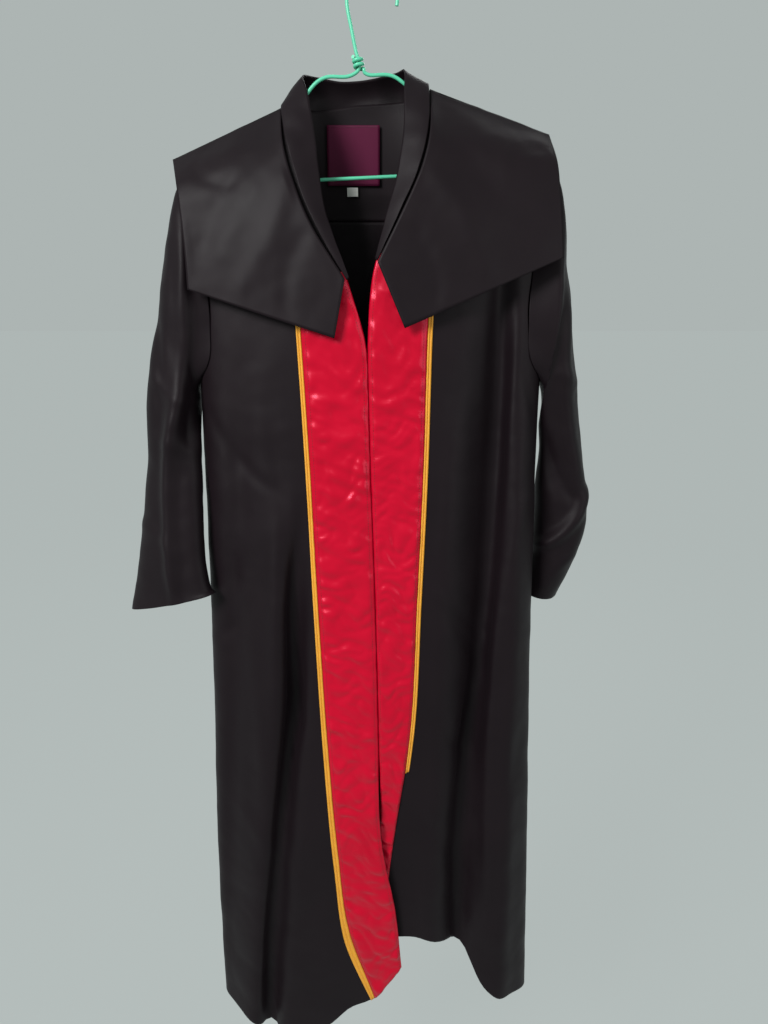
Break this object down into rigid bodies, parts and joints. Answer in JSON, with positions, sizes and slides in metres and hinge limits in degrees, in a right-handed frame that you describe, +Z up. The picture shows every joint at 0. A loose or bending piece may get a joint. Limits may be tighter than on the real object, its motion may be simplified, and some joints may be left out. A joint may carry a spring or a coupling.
{
  "type": "graduation gown on wire hanger",
  "caption": "Long black graduation gown with a wide cape collar and red satin front bands, hung on a plain wire hanger.",
  "frame": {"origin": "highest point inside the hanger's hook, where a rail or nail bears", "axes": "+Z up along the hanging gown, +X to the viewer's right, the front faces -Y"},
  "size_m": [0.5939, 0.1482, 1.4059],
  "materials": {
    "cloth": "black polyester, faint satin sheen",
    "satin": "crimson satin, glossy and puckered",
    "piping": "golden yellow piping",
    "zip": "woven tape",
    "label": "woven satin label, bare",
    "tag": "white woven tape, bare",
    "wire": "mint green plastic coating on wire"
  },
  "bodies": {
    "root": {"front_left": "cloth", "front_right": "cloth", "back": "cloth", "back_yoke": "cloth", "sleeve_left": "cloth", "sleeve_right": "cloth", "collar_band": "cloth", "cape_left": "cloth", "cape_right": "cloth", "cape_back": "cloth", "satin_band_left": "satin", "satin_band_right": "satin", "piping_left": "piping", "piping_right": "piping", "zip": "zip", "neck_label": "label", "size_tag": "tag", "hanger": "wire"}
  },
  "joints": []
}
